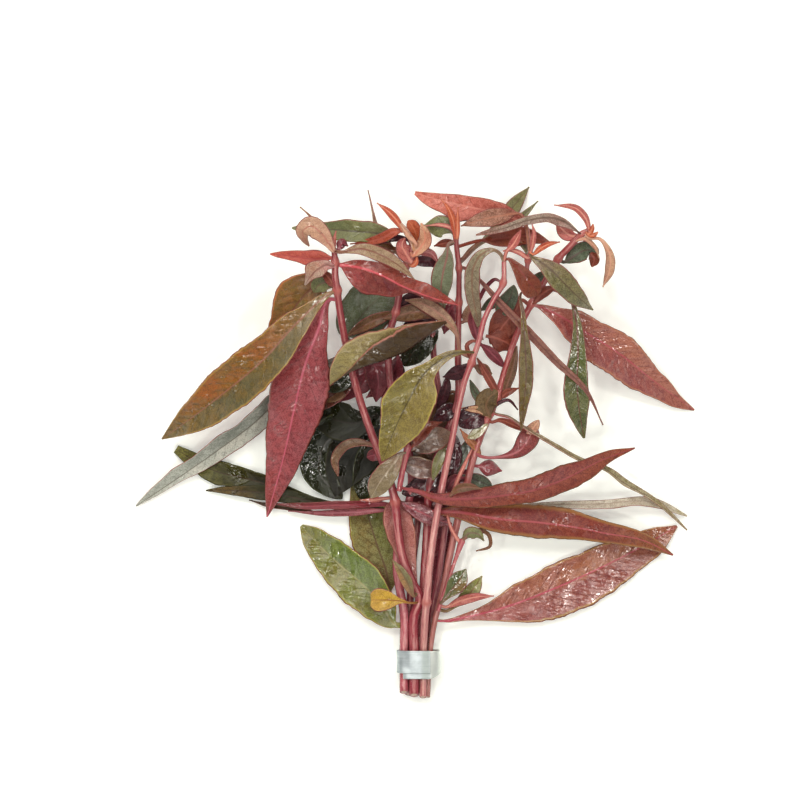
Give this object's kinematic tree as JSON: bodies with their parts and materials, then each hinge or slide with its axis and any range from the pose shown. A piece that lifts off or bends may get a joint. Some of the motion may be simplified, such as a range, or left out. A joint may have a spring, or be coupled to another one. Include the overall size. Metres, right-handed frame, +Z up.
{
  "type": "aquarium plant bunch",
  "caption": "Cut bunch of red and olive aquarium plant stems with long pointed leaves, held near the cut ends by a wound strip of soft metal that anchors it; it lies on its side.",
  "frame": {"origin": "on the table plane, under the middle of the bunch's outline seen from above", "axes": "+Y from the cut ends to the shoot tips, +Z up from the table the bunch lies on, +X to the right of a person at the cut ends"},
  "size_m": [0.2235, 0.204, 0.0548],
  "materials": {
    "metal": "satin",
    "stem": "satin",
    "crimson": "satin",
    "bronze": "satin",
    "olive": "satin",
    "green": "satin",
    "brown": "satin",
    "tan": "satin",
    "young_red": "satin",
    "golden": "satin",
    "grey": "satin"
  },
  "bodies": {
    "root": {"lead_strip": "metal", "left_stem": "stem", "middle_stem": "stem", "front_stem": "stem", "back_stem": "stem", "right_stem": "stem", "slim_stem": "stem", "low_stem": "stem", "side_shoot_left": "stem", "side_shoot_right": "stem", "side_shoot_top": "stem", "leaf_bronze_long": "bronze", "leaf_crimson_long": "crimson", "leaf_grey_long": "grey", "leaf_brown_back": "brown", "leaf_taupe_droop": "grey", "leaf_red_left": "young_red", "leaf_tan_top_left": "tan", "leaf_olive_back_left": "olive", "leaf_tan_arch": "tan", "leaf_crimson_top": "crimson", "leaf_green_back": "green", "leaf_rolled_olive": "olive", "leaf_yellow_green": "olive", "leaf_wet_upper": "green", "leaf_wet_lower": "green", "leaf_taupe_centre": "tan", "leaf_dark_far_left": "olive", "leaf_orange_rim_left": "olive", "leaf_folded_left_upper": "crimson", "leaf_tan_behind_stem": "tan", "leaf_olive_low": "olive", "leaf_green_broad": "green", "leaf_golden": "golden", "leaf_olive_folded": "olive", "leaf_glossy_right": "crimson", "leaf_crimson_right_lower": "crimson", "leaf_crimson_right_upper": "crimson", "leaf_thin_right_upper": "grey", "leaf_thin_right_lower": "grey", "leaf_hooked": "crimson", "leaf_short_crimson": "crimson", "leaf_pair_green": "green", "leaf_pair_olive": "olive", "leaf_olive_tip": "olive", "leaf_red_top": "crimson", "leaf_tan_top": "tan", "leaf_grey_top": "grey", "leaf_rust_top": "brown", "leaf_green_hanging": "grey", "leaf_olive_arch": "olive", "leaf_rust_right": "brown", "leaf_olive_right": "olive", "leaf_narrow_hanging": "olive", "leaf_wet_hanging": "olive", "leaf_red_far_right": "crimson", "leaf_thin_across": "grey", "left_shoot_tip": "young_red", "back_shoot_tip": "young_red", "right_shoot_tip": "young_red"}
  },
  "joints": []
}
